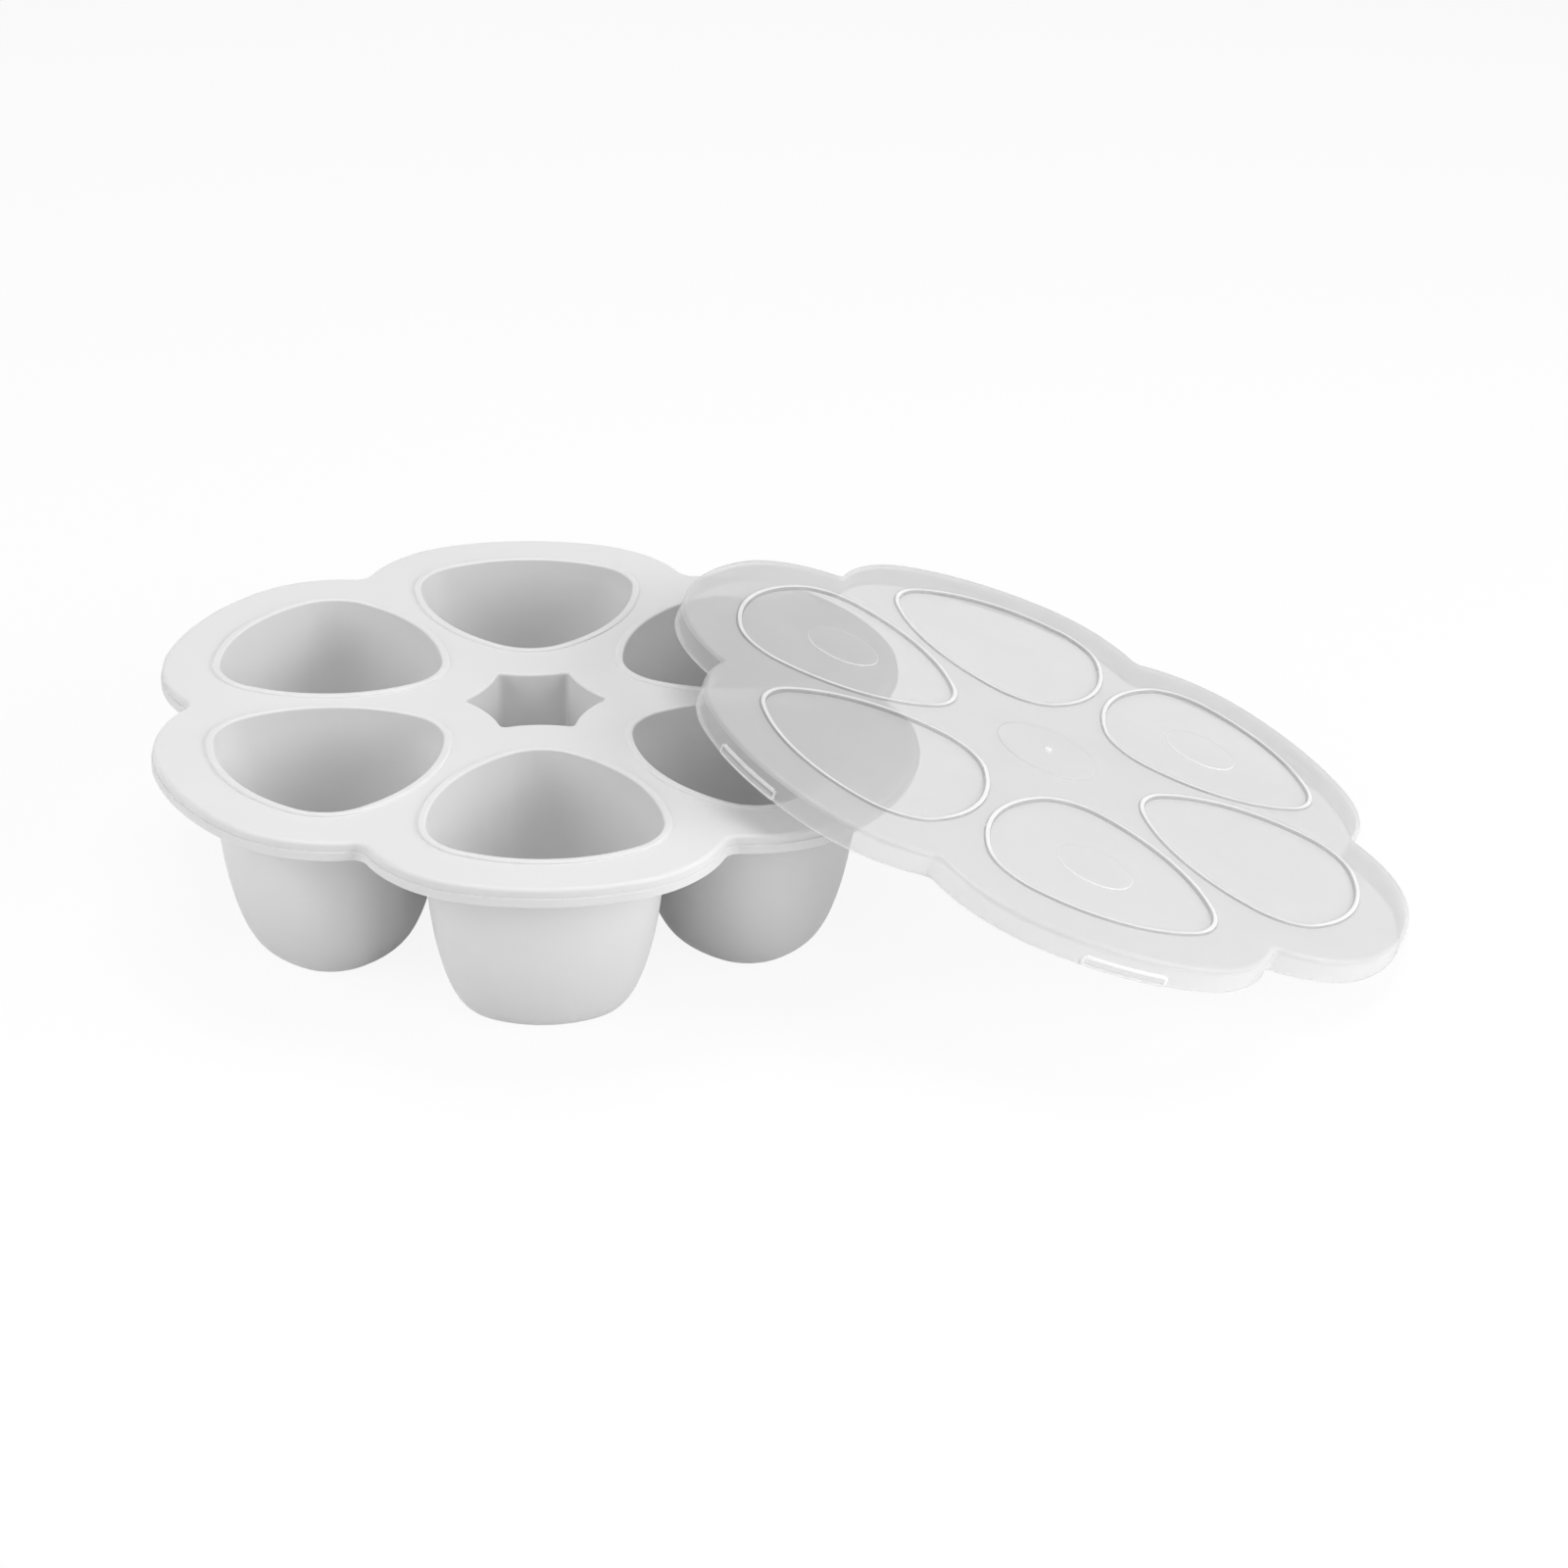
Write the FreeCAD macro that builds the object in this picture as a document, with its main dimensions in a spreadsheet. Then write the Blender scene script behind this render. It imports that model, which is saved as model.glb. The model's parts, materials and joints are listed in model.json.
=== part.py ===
"""Baby food freezer tray: a six-cell silicone tray and its clear snap-on lid.

The tray is one moulding: a flower-shaped deck with six rounded three-sided cups hanging from it and a
star-shaped pocket in the middle. The lid is a second moulding: a thin plate of the same flower shape with
a skirt all round, standing where it lies when it is taken off, with one edge on the table and its
underside against the tray's rim.

Both are modelled about their own vertical axis with a cell along +Y. Then they are placed in one frame:
+Z is up, the table is at Z = 0, the lid leans along +X and the origin is the middle of the whole
footprint. All lengths are in millimetres.
"""
import FreeCAD, Part
import math
import os

import Sketcher
from FreeCAD import Placement, Rotation, Vector

CELLS = 6
LUG_LOBES = (0, 2, 3, 5)
DISC_PANELS = (1, 3, 5)

# Driving sizes: alias, value, meaning.
SIZES = [
    ("tray_height", 58.5, "deck top above the table"),
    ("ring_radius", 70.1, "tray axis to the middle of a cell"),
    ("cell_reach", 18.2, "middle of a cell to the centres of its corner arcs"),
    ("cell_corner", 17.4, "radius of a cell's three corners"),
    ("cell_side", 51.3, "radius of a cell's three bowed sides"),
    ("cell_mean", 32.5, "radius of the circle that a cell's outline tends to lower down"),
    ("cup_wall", 1.8, "silicone wall of a cup"),
    ("cup_flare", 2.0, "how far a cup's outside stands out from the mouth's outline at the deck"),
    ("cup_floor", 2.0, "silicone floor of a cup"),
    ("cup_lean", 5.6, "how far a cup's wall would lean in over its full depth"),
    ("heel_height", 34.0, "height of the rounding between a cup's wall and its floor"),
    ("heel_width", 8.0, "width of that rounding"),
    ("lip_height", 0.7, "raised lip round each mouth, above the deck"),
    ("lip_width", 2.4, "lip outside the mouth's outline"),
    ("lip_inner_round", 0.7, "rounding from the lip into the cup"),
    ("lip_outer_round", 0.55, "rounding on the lip's outer edge"),
    ("lobe_tip", 117.0, "tray axis to the tip of a lobe, on the upper band of the rim"),
    ("lobe_radius", 82.0, "radius of a lobe's front"),
    ("shoulder_radius", 41.2, "radius of a lobe's two shoulders"),
    ("brow_width", 46.6, "width of a lobe's front, between its shoulders"),
    ("notch_round", 5.0, "rounding in the notch between two lobes"),
    ("deck_thickness", 3.0, "silicone deck between the cups"),
    ("rim_height", 5.7, "full height of the deck's outer rim"),
    ("rim_width", 5.0, "width of the thick rim under the deck's edge"),
    ("ledge_drop", 2.8, "deck top to the small ledge on the rim"),
    ("ledge_width", 0.5, "how far the ledge stands out"),
    ("rim_round", 1.1, "rounding of the deck's top edge"),
    ("rim_foot_round", 0.6, "rounding of the rim's lower outer edge"),
    ("star_reach", 18.9, "tray axis to the centres of the star's rounded points"),
    ("star_point", 1.6, "radius of the star's points"),
    ("star_side", 33.0, "radius of the star's hollow sides"),
    ("star_depth", 24.0, "depth of the star pocket"),
    ("star_wall", 2.0, "wall and floor of the star pocket"),
    ("star_round", 0.7, "rounding of the star's top edge"),
    ("lid_clearance", 0.5, "gap between the rim's ledge and the skirt when the lid is on"),
    ("lid_wall", 1.3, "thickness of the lid's skirt"),
    ("lid_plate", 1.3, "thickness of the lid's plate"),
    ("lid_depth", 7.6, "height of the lid, plate and skirt"),
    ("lid_round", 1.6, "rounding of the lid's top edge"),
    ("rib_offset", 0.9, "mouth outline to the inner edge of the rib round a panel"),
    ("rib_width", 1.8, "width of that rib"),
    ("rib_height", 0.7, "height of that rib above the plate"),
    ("rib_round", 0.6, "rounding of the rib's top edges"),
    ("panel_sink", 0.4, "how far a panel lies below the plate's top"),
    ("disc_radius", 13.0, "radius of the flat disc on every other panel"),
    ("disc_height", 0.3, "height of that disc"),
    ("boss_radius", 16.0, "radius of the shallow boss in the lid's middle"),
    ("boss_height", 0.4, "height of that boss"),
    ("gate_radius", 1.3, "radius of the moulding gate's stub"),
    ("gate_height", 0.6, "height of that stub"),
    ("lug_length", 23.0, "length of a snap lug along the skirt"),
    ("lug_height", 3.8, "height of a snap lug"),
    ("lug_stand", 0.7, "how far a lug stands out of the skirt"),
    ("catch_stand", 0.8, "how far the catch behind a lug stands into the lid"),
    ("catch_height", 0.5, "height of that catch"),
    ("lean_angle", 19.4, "tilt of the lid where it leans, in degrees"),
    ("lid_twist", 2.8, "turn of the lid about its own axis where it leans, in degrees"),
    ("lid_shift", -13.1, "sideways shift of the lid where it leans"),
    ("lean_gap", 0.3, "gap left between the tray's rim and the lid's underside"),
]

# Where the sections of a cup lie: shares of the straight wall, then angles along its heel, in degrees.
WALL_SHARES = (0.0, 0.5, 1.0)
HEEL_ANGLES = (20, 38, 54, 68, 79, 90)
ROUNDING_SHARE = 0.26  # how much of the way to a circle a cell's outline has gone at its floor
FLAT = 1e-4  # height within which a face counts as flat


class Length:
    """A length as a number and as the expression that binds it to the sheet."""

    def __init__(self, value, text):
        self.value = value
        self.text = text

    def __add__(self, other):
        return Length(self.value + other.value, f"{self.text} + {other.text}")

    def __sub__(self, other):
        return Length(self.value - other.value, f"{self.text} - ({other.text})")

    def __mul__(self, factor):
        return Length(self.value * factor, f"({factor:.9g}) * ({self.text})")


class Sizes:
    """The spreadsheet of driving sizes. Each alias reads as a Length."""

    def __init__(self, doc):
        self.sheet = doc.addObject("Spreadsheet::Sheet", "sizes")
        for row, (alias, value, meaning) in enumerate(SIZES, start=1):
            self.sheet.set(f"A{row}", alias)
            self.sheet.set(f"B{row}", str(value))
            self.sheet.set(f"C{row}", meaning)
            self.sheet.setAlias(f"B{row}", alias)
        doc.recompute()

    def __getattr__(self, alias):
        return Length(float(self.sheet.get(alias)), f"sizes.{alias}")


class Moulding:
    """A PartDesign body with the steps that the tray and the lid share."""

    def __init__(self, doc, name):
        self.doc = doc
        self.body = doc.addObject("PartDesign::Body", name)
        self.body.Label = name
        doc.recompute()

    def origin_feature(self, role):
        """Find one of the body's own origin planes or axes."""
        return next(item for item in self.body.Origin.OriginFeatures if item.Role == role)

    def add(self, kind, name, **properties):
        """Add a feature to the body, set its properties and recompute."""
        feature = self.body.newObject(kind, f"{self.body.Name}_{name}")
        for key, value in properties.items():
            if isinstance(value, Length):
                setattr(feature, key, value.value)
                feature.setExpression(key, value.text)
            else:
                setattr(feature, key, value)
        self.doc.recompute()
        return feature

    def sketch(self, name, height, turn=0):
        """Start a horizontal sketch at a height, turned about the body's axis by an angle in degrees."""
        sketch = self.body.newObject("Sketcher::SketchObject", f"{self.body.Name}_{name}_sketch")
        sketch.AttachmentSupport = [(self.origin_feature("XY_Plane"), "")]
        sketch.MapMode = "FlatFace"
        sketch.AttachmentOffset = Placement(Vector(0, 0, height.value), Rotation(turn, 0, 0))
        sketch.setExpression("AttachmentOffset.Base.z", height.text)
        return sketch

    def pad(self, name, sketch, length):
        """Pad a sketch upwards."""
        return self.add("PartDesign::Pad", name, Profile=sketch, Length=length)

    def pocket(self, name, sketch, length, upwards=False):
        """Cut a sketch's area away, downwards unless told otherwise."""
        before = self.body.Shape.Volume
        pocket = self.add("PartDesign::Pocket", name, Profile=sketch, Length=length, Reversed=upwards)
        if self.body.Shape.Volume >= before:
            raise RuntimeError(f"{name} cuts nothing")
        return pocket

    def loft(self, kind, name, sketches):
        """Loft through a row of sketches, adding or cutting."""
        return self.add(f"PartDesign::{kind}", name, Profile=sketches[0], Sections=sketches[1:])

    def repeat(self, name, features, turns=CELLS):
        """Repeat features round the body's axis, once for each cell."""
        pattern = self.body.newObject("PartDesign::PolarPattern", f"{self.body.Name}_{name}")
        pattern.Originals = features
        pattern.Axis = (self.origin_feature("Z_Axis"), [""])
        pattern.Angle = 360
        pattern.Occurrences = turns
        self.body.Tip = pattern
        self.doc.recompute()
        return pattern

    def rims(self, height, inner):
        """List the edges that bound the body's flat faces at a height, outside or round their holes."""
        edges = []
        for face in self.body.Shape.Faces:
            box = face.BoundBox
            if box.ZLength < FLAT and abs(box.ZMin - height.value) < FLAT:
                loops = sorted(face.Wires, key=lambda wire: wire.BoundBox.DiagonalLength)
                chosen = loops[:-1] if inner else loops[-1:]
                edges += [edge for loop in chosen for edge in loop.Edges]
        return edges

    def fillet(self, name, radius, edges):
        """Round edges of the body."""
        numbered = enumerate(self.body.Shape.Edges, start=1)
        names = [f"Edge{number}" for number, edge in numbered if any(edge.isSame(item) for item in edges)]
        if not names:
            raise RuntimeError(f"{name} finds no edge")
        return self.add("PartDesign::Fillet", name, Base=(self.body.Tip, names), Radius=radius)


def polar(centre, radius, angle):
    """Point at a distance and an angle in radians from a centre."""
    return centre + Vector(radius * math.cos(angle), radius * math.sin(angle), 0)


def add_arc(sketch, centre, radius, start, end):
    """Add a counter-clockwise arc to a sketch and return its number."""
    circle = Part.Circle(centre, Vector(0, 0, 1), radius)
    return sketch.addGeometry(Part.ArcOfCircle(circle, start, end), False)


def relate(sketch, kind, *places):
    """Add a geometric constraint to a sketch."""
    sketch.addConstraint(Sketcher.Constraint(kind, *places))


def dimension(sketch, kind, places, length):
    """Add a driving dimension to a sketch and bind it to the sheet."""
    name = f"{kind.lower()}_{sketch.ConstraintCount}"
    sketch.addConstraint(Sketcher.Constraint(kind, *places, length.value))
    sketch.renameConstraint(sketch.ConstraintCount - 1, name)
    sketch.setExpression(f"Constraints.{name}", length.text)


def rounded_polygon(sketch, count, first_angle, centre_y, reach, corner, side, hollow=False):
    """Draw a polygon of tangent arcs: rounded corners joined by bowed or hollow sides.

    Its middle lies on the sketch's Y axis at centre_y. Reach is the distance from the middle to the
    centre of each corner's arc.
    """
    middle = Vector(0, centre_y.value, 0)
    half = math.pi / count
    along = reach.value * math.cos(half)
    across = reach.value * math.sin(half)
    span = side.value + corner.value if hollow else side.value - corner.value
    drop = math.sqrt(span ** 2 - across ** 2)
    swing = math.atan2(across, drop)
    turn = half + swing if hollow else half - swing
    corners, sides = [], []
    for index in range(count):
        angle = first_angle + 2 * half * index
        corners.append(add_arc(sketch, polar(middle, reach.value, angle), corner.value,
                               angle - turn, angle + turn))
        facing = angle + half + (math.pi if hollow else 0)
        side_centre = polar(middle, along + drop if hollow else along - drop, angle + half)
        sides.append(add_arc(sketch, side_centre, side.value, facing - swing, facing + swing))
    near, far = (2, 1) if hollow else (1, 2)
    for index in range(count):
        relate(sketch, "Tangent", corners[index], 2, sides[index], near)
        relate(sketch, "Tangent", sides[index], far, corners[(index + 1) % count], 1)
    for index in range(count):
        angle = first_angle + 2 * half * index
        dimension(sketch, "DistanceX", (corners[index], 3), reach * math.cos(angle))
        dimension(sketch, "DistanceY", (corners[index], 3), centre_y + reach * math.sin(angle))
        dimension(sketch, "Radius", (corners[index],), corner)
        dimension(sketch, "Radius", (sides[index],), side)


def lobe_sector(sketch, size, grow):
    """Draw one lobe of the flower as a sector from the axis, its edge moved out by grow.

    Tangent arcs make the lobe's edge: a shallow front, two shoulders and half of each rounded notch.
    Straight lines join it to the axis, half way to the neighbouring lobes.
    """
    front = size.lobe_radius + grow
    shoulder = size.shoulder_radius + grow
    notch = size.notch_round - grow
    front_y = size.lobe_tip - size.lobe_radius
    half_brow = size.brow_width * 0.5 + grow * (size.brow_width.value / 2 / size.lobe_radius.value)
    up = math.pi / 2
    turn = math.asin(half_brow.value / front.value)
    edge_angle = up - math.pi / CELLS
    shoulder_centre = polar(Vector(0, front_y.value, 0), front.value - shoulder.value, up - turn)
    along = shoulder_centre.dot(polar(Vector(), 1, edge_angle))
    square_across = shoulder_centre.Length ** 2 - along ** 2
    notch_reach = along + math.sqrt((shoulder.value + notch.value) ** 2 - square_across)
    notch_centre = polar(Vector(), notch_reach, edge_angle)
    to_notch = notch_centre - shoulder_centre
    dip = math.atan2(to_notch.y, to_notch.x)
    ray_end = polar(Vector(), notch_reach - notch.value, edge_angle)

    def mirrored(point):
        return Vector(-point.x, point.y, 0)

    right_line = sketch.addGeometry(Part.LineSegment(Vector(), ray_end), False)
    right_notch = add_arc(sketch, notch_centre, notch.value, math.pi + dip, math.pi + edge_angle)
    right_arc = add_arc(sketch, shoulder_centre, shoulder.value, dip, up - turn)
    front_arc = add_arc(sketch, Vector(0, front_y.value, 0), front.value, up - turn, up + turn)
    left_arc = add_arc(sketch, mirrored(shoulder_centre), shoulder.value, up + turn, math.pi - dip)
    left_notch = add_arc(sketch, mirrored(notch_centre), notch.value, -edge_angle, -dip)
    left_line = sketch.addGeometry(Part.LineSegment(mirrored(ray_end), Vector()), False)
    relate(sketch, "Coincident", right_line, 1, -1, 1)
    relate(sketch, "Coincident", left_line, 2, -1, 1)
    relate(sketch, "Perpendicular", right_line, 2, right_notch, 2)
    relate(sketch, "Tangent", right_notch, 1, right_arc, 1)
    relate(sketch, "Tangent", right_arc, 2, front_arc, 1)
    relate(sketch, "Tangent", front_arc, 2, left_arc, 1)
    relate(sketch, "Tangent", left_arc, 2, left_notch, 2)
    relate(sketch, "Perpendicular", left_notch, 1, left_line, 1)
    relate(sketch, "PointOnObject", front_arc, 3, -2)
    relate(sketch, "Angle", -1, 1, right_line, 1, edge_angle)
    relate(sketch, "Angle", -1, 1, left_line, 2, math.pi - edge_angle)
    dimension(sketch, "DistanceY", (front_arc, 3), front_y)
    dimension(sketch, "DistanceX", (front_arc, 1), half_brow)
    dimension(sketch, "DistanceX", (front_arc, 2), half_brow * -1)
    for arc, radius in ((front_arc, front), (right_arc, shoulder), (left_arc, shoulder),
                        (right_notch, notch), (left_notch, notch)):
        dimension(sketch, "Radius", (arc,), radius)


def curved_strip(sketch, size, inner, outer, length):
    """Draw a strip that follows the front of the lobe along +Y, between two radii of that front."""
    centre = Vector(0, (size.lobe_tip - size.lobe_radius).value, 0)
    half = length.value / 2
    up = math.pi / 2
    arcs = []
    for radius in (inner, outer):
        turn = math.asin(half / radius.value)
        arcs.append(add_arc(sketch, centre, radius.value, up - turn, up + turn))
        dimension(sketch, "Radius", (arcs[-1],), radius)
    relate(sketch, "PointOnObject", arcs[0], 3, -2)
    relate(sketch, "Coincident", arcs[0], 3, arcs[1], 3)
    dimension(sketch, "DistanceY", (arcs[0], 3), size.lobe_tip - size.lobe_radius)
    for end, side in ((1, 1), (2, -1)):
        tips = [Vector(side * half, centre.y + math.sqrt(radius.value ** 2 - half ** 2), 0)
                for radius in (inner, outer)]
        line = sketch.addGeometry(Part.LineSegment(*tips), False)
        relate(sketch, "Coincident", line, 1, arcs[0], end)
        relate(sketch, "Coincident", line, 2, arcs[1], end)
        relate(sketch, "Vertical", line)
        dimension(sketch, "DistanceX", (arcs[1], end), length * (side / 2))


def disc(sketch, radius, middle):
    """Draw a circle about a point that lies on the sketch's Y axis."""
    circle = sketch.addGeometry(Part.Circle(Vector(0, middle.value, 0), Vector(0, 0, 1), radius.value), False)
    relate(sketch, "PointOnObject", circle, 3, -2)
    dimension(sketch, "DistanceY", (circle, 3), middle)
    dimension(sketch, "Radius", (circle,), radius)


def cell_outline(sketch, size, grow, scale=1.0, rounding=0.0):
    """Draw a cell's outline along +Y, scaled, gone some way to a circle, and then moved out by grow."""
    corner = (size.cell_corner * (1 - rounding) + size.cell_mean * rounding) * scale + grow
    side = (size.cell_side * (1 - rounding) + size.cell_mean * rounding) * scale + grow
    reach = size.cell_reach * (scale * (1 - rounding))
    rounded_polygon(sketch, 3, math.pi / 6, size.ring_radius, reach, corner, side)


def cup_sections(tray, size, name, grow, lift):
    """Draw the sections of a cup from its mouth to its floor, moved out by grow and up by lift.

    A cup's wall leans in evenly, and a quarter of an ellipse, the heel, turns it into the floor.
    """
    wall_height = size.tray_height - size.heel_height
    steps = [(wall_height * share, 0.0) for share in WALL_SHARES]
    for angle in HEEL_ANGLES:
        turn = math.radians(angle)
        depth = wall_height + size.heel_height * math.sin(turn)
        steps.append((depth, size.heel_width.value * (1 - math.cos(turn))))
    sketches = []
    for number, (depth, heel_inset) in enumerate(steps):
        share = depth.value / size.tray_height.value
        inset = size.cup_lean.value * share + heel_inset - size.cup_flare.value
        sketch = tray.sketch(f"{name}_{number}", size.tray_height - depth + lift)
        cell_outline(sketch, size, grow, 1 - inset / size.cell_mean.value, ROUNDING_SHARE * share)
        sketches.append(sketch)
    return sketches


def build_tray(doc, size):
    """Build the silicone tray, standing on the table about its own axis."""
    tray = Moulding(doc, "silicone_tray")
    none = size.ledge_width * 0
    deck_top = size.tray_height
    lip_top = size.tray_height + size.lip_height

    # The deck's outer rim in two bands, the lower one standing out as a ledge, hollow underneath.
    lower = tray.sketch("lower_band", deck_top - size.rim_height)
    lobe_sector(lower, size, size.ledge_width)
    lower = tray.pad("lower_band", lower, size.rim_height - size.ledge_drop)
    upper = tray.sketch("upper_band", deck_top - size.ledge_drop)
    lobe_sector(upper, size, none)
    upper = tray.pad("upper_band", upper, size.ledge_drop)
    hollow = tray.sketch("hollow", deck_top - size.rim_height)
    lobe_sector(hollow, size, size.rim_width * -1)
    hollow = tray.pocket("hollow", hollow, size.rim_height - size.deck_thickness, upwards=True)
    tray.repeat("lobes", [lower, upper, hollow])
    tray.fillet("rim_round", size.rim_round, tray.rims(deck_top, inner=False))
    tray.fillet("rim_foot", size.rim_foot_round, tray.rims(deck_top - size.rim_height, inner=False))

    # The star pocket in the middle: a walled well below the deck, open at the top.
    well = tray.sketch("well", deck_top - size.star_depth - size.star_wall)
    rounded_polygon(well, CELLS, 0, none, size.star_reach, size.star_point + size.star_wall,
                    size.star_side - size.star_wall, hollow=True)
    tray.pad("well", well, size.star_depth + size.star_wall - size.deck_thickness * 0.5)
    star = tray.sketch("star", deck_top)
    rounded_polygon(star, CELLS, 0, none, size.star_reach, size.star_point, size.star_side, hollow=True)
    tray.pocket("star", star, size.star_depth)
    tray.fillet("star_round", size.star_round, tray.rims(deck_top, inner=True))

    # The six cups with a raised lip round each mouth.
    cup = tray.loft("AdditiveLoft", "cup", cup_sections(tray, size, "cup", none, none))
    lip = tray.sketch("lip", deck_top)
    cell_outline(lip, size, size.lip_width)
    lip = tray.pad("lip", lip, size.lip_height)
    tray.repeat("cups", [cup, lip])
    tray.fillet("lip_outer", size.lip_outer_round, tray.rims(lip_top, inner=False))
    sections = cup_sections(tray, size, "cavity", size.cup_wall * -1, size.cup_floor)
    cavity = tray.loft("SubtractiveLoft", "cavity", sections)
    tray.repeat("cavities", [cavity])
    tray.fillet("lip_inner", size.lip_inner_round, tray.rims(lip_top, inner=True))
    return tray.body


def build_lid(doc, size):
    """Build the lid about its own axis, its skirt's foot at Z = 0 and its plate on top."""
    lid = Moulding(doc, "snap_lid")
    none = size.lid_plate * 0
    top = size.lid_depth
    inside = size.ledge_width + size.lid_clearance
    outside = inside + size.lid_wall

    # Plate and skirt.
    shell = lid.sketch("shell", none)
    lobe_sector(shell, size, outside)
    shell = lid.pad("shell", shell, size.lid_depth)
    room = lid.sketch("room", none)
    lobe_sector(room, size, inside)
    room = lid.pocket("room", room, size.lid_depth - size.lid_plate, upwards=True)
    lid.repeat("lobes", [shell, room])
    lid.fillet("top_round", size.lid_round, lid.rims(top, inner=False))

    # Snap lugs on the skirt, each with a catch behind it that clips under the tray's rim.
    skirt_face = size.lobe_radius + outside
    for number in LUG_LOBES:
        turn = number * 360 / CELLS
        sketch = lid.sketch(f"lug_{number}", none, turn)
        curved_strip(sketch, size, skirt_face - size.lid_wall * 0.5, skirt_face + size.lug_stand,
                     size.lug_length)
        lid.pad(f"lug_{number}", sketch, size.lug_height)
        sketch = lid.sketch(f"catch_{number}", none, turn)
        curved_strip(sketch, size, skirt_face - size.lid_wall - size.catch_stand,
                     skirt_face - size.lid_wall * 0.5, size.lug_length)
        lid.pad(f"catch_{number}", sketch, size.catch_height)

    # A panel over each cell, a little lower than the plate, with a rib round it.
    rib = lid.sketch("rib", top)
    cell_outline(rib, size, size.rib_offset)
    cell_outline(rib, size, size.rib_offset + size.rib_width)
    rib = lid.pad("rib", rib, size.rib_height)
    panel = lid.sketch("panel", top)
    cell_outline(panel, size, size.rib_offset)
    panel = lid.pocket("panel", panel, size.panel_sink)
    lid.repeat("panels", [rib, panel])
    rib_top = top + size.rib_height
    lid.fillet("rib_round", size.rib_round, lid.rims(rib_top, inner=False) + lid.rims(rib_top, inner=True))

    # Discs on every other panel, and the boss and gate stub in the middle.
    for number in DISC_PANELS:
        sketch = lid.sketch(f"disc_{number}", top - size.panel_sink, turn=number * 360 / CELLS)
        disc(sketch, size.disc_radius, size.ring_radius)
        lid.pad(f"disc_{number}", sketch, size.disc_height)
    boss = lid.sketch("boss", top)
    disc(boss, size.boss_radius, none)
    lid.pad("boss", boss, size.boss_height)
    gate = lid.sketch("gate", top + size.boss_height)
    disc(gate, size.gate_radius, none)
    lid.pad("gate", gate, size.gate_height)
    return lid.body


def lean(tray, lid, size):
    """Place the lid as it leans: its low edge on the table, its underside against the tray's rim."""
    tilt = Rotation(Vector(0, 1, 0), size.lean_angle.value)
    turn = tilt.multiply(Rotation(Vector(0, 0, 1), size.lid_twist.value))
    tilted = lid.Shape.copy()
    tilted.Placement = Placement(Vector(), turn)
    rise = -tilted.optimalBoundingBox(False, False).ZMin
    normal = tilt.multVec(Vector(0, 0, 1))
    level = tray.Shape.copy()
    level.Placement = Placement(Vector(), tilt.inverted())
    reach = level.optimalBoundingBox(False, False).ZMax
    plate_under = (size.lid_depth - size.lid_plate).value
    away = (reach + size.lean_gap.value - plate_under - normal.z * rise) / normal.x
    lid.Placement = Placement(Vector(away, size.lid_shift.value, rise), turn)


def centre_footprint(bodies):
    """Move the bodies together so that the origin is the middle of their footprint."""
    box = FreeCAD.BoundBox()
    for body in bodies:
        box.add(body.Shape.optimalBoundingBox(False, False))
    shift = Vector(-box.Center.x, -box.Center.y, 0)
    for body in bodies:
        body.Placement = Placement(shift, Rotation()).multiply(body.Placement)


def check(doc, bodies):
    """Stop if any feature failed or a sub-part isn't one valid solid."""
    for item in doc.Objects:
        if {"Invalid", "Error"} & set(item.State):
            raise RuntimeError(f"{item.Label} failed: {item.State}")
    for body in bodies:
        shape = body.Shape
        if shape.isNull() or not shape.isValid() or len(shape.Solids) != 1:
            raise RuntimeError(f"{body.Label} isn't one valid solid")


def main():
    """Build both mouldings, place them and write one STEP file for each."""
    doc = FreeCAD.newDocument("baby_food_freezer_tray")
    size = Sizes(doc)
    tray = build_tray(doc, size)
    lid = build_lid(doc, size)
    bodies = [tray, lid]
    check(doc, bodies)
    lean(tray, lid, size)
    centre_footprint(bodies)
    doc.recompute()
    check(doc, bodies)
    os.makedirs("parts", exist_ok=True)
    for body in bodies:
        body.Shape.exportStep(f"parts/{body.Label}.step")
        box = body.Shape.optimalBoundingBox(False, False)
        low = ", ".join(f"{value:.2f}" for value in (box.XMin, box.YMin, box.ZMin))
        high = ", ".join(f"{value:.2f}" for value in (box.XMax, box.YMax, box.ZMax))
        print(f"{body.Label}: {body.Shape.Volume:.0f} mm3, from ({low}) to ({high})")


if __name__ == "__main__":
    main()
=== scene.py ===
"""Baby food freezer tray: a satin silicone tray with six cells, its translucent lid leaning on its rim.

Both mouldings repeat six times about their own axis. Each is drawn as one or more kinds of sector, a
sixth of a turn wide, with the lobe along +Y. Geometry Nodes turn the sectors into a wheel and weld
them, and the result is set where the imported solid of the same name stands. Sizes are in millimetres.
"""
import json
import logging
import math
from dataclasses import dataclass
from enum import IntEnum
from typing import Sequence

import bmesh
import bpy
from mathutils import Matrix, Vector
from mathutils.geometry import delaunay_2d_cdt

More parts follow.
